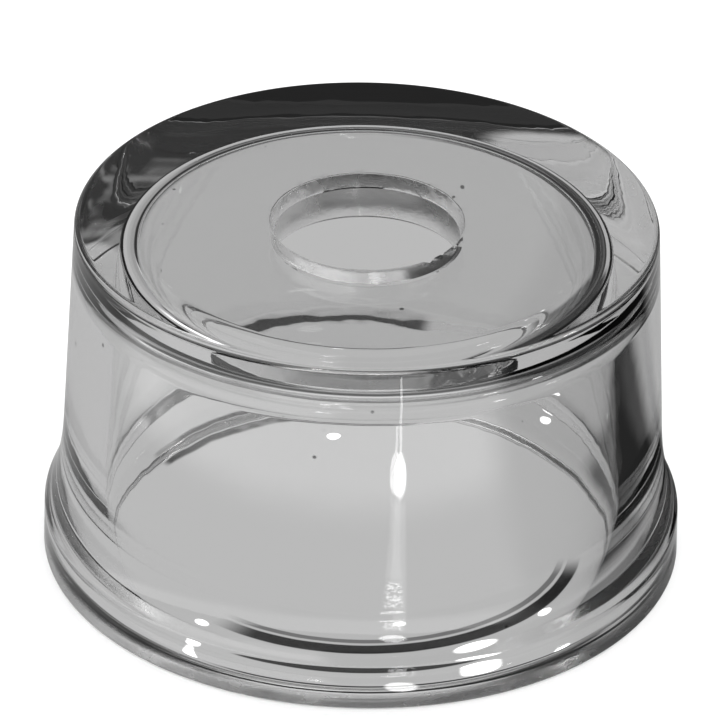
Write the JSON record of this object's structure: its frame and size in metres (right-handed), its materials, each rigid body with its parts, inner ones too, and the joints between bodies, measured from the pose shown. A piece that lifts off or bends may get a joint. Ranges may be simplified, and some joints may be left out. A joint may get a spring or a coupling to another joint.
{
  "type": "glass sediment bowl",
  "caption": "Clear pressed-glass bowl of a fuel strainer, with a thick base drilled for the drain fitting and a wide ground rim that clamps against a gasket.",
  "frame": {"origin": "centre of the rim's sealing face, at the lowest point of the bowl standing mouth down", "axes": "+Z along the bowl's axis, from the rim's sealing face to the drilled base; the bowl is the same all round, so X and Y are free"},
  "size_m": [0.0632, 0.0632, 0.0363],
  "materials": {
    "clear_glass": "fire-polished outside and inside, ground on the rim's sealing face and in the drilled hole"
  },
  "bodies": {
    "root": {"glass_bowl": "clear_glass"}
  },
  "joints": []
}
